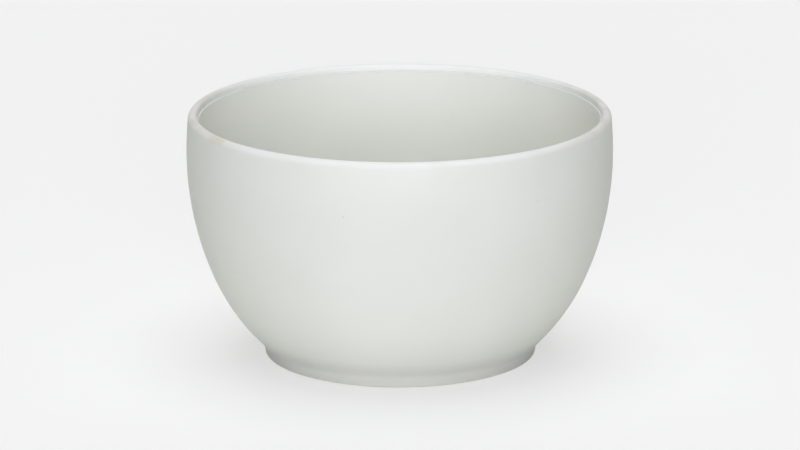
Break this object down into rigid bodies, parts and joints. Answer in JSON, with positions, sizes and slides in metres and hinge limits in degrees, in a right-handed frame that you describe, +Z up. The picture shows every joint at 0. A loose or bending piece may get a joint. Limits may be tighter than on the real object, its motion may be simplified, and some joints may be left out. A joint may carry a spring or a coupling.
{
  "type": "latte bowl",
  "caption": "Round glazed porcelain bowl with a soft lip and a low foot ring, for drinking milky coffee from both hands.",
  "frame": {"origin": "on the bowl's axis, on the surface that it stands on", "axes": "+Z up along the axis of the bowl; the bowl is round, so +X and +Y are alike"},
  "size_m": [0.125, 0.125, 0.0726],
  "materials": {
    "bare_porcelain": "fired, unglazed porcelain, rubbed smooth on the standing edge",
    "outer_glaze": "satin white glaze with a faint grey-green cast",
    "inner_glaze": "satin white glaze with a faint grey-green cast",
    "base_glaze": "satin white glaze with a faint grey-green cast"
  },
  "bodies": {
    "root": {"porcelain_body": "bare_porcelain", "foot_ring": "bare_porcelain", "outer_glaze": "outer_glaze", "inner_glaze": "inner_glaze", "base_glaze": "base_glaze"}
  },
  "joints": []
}
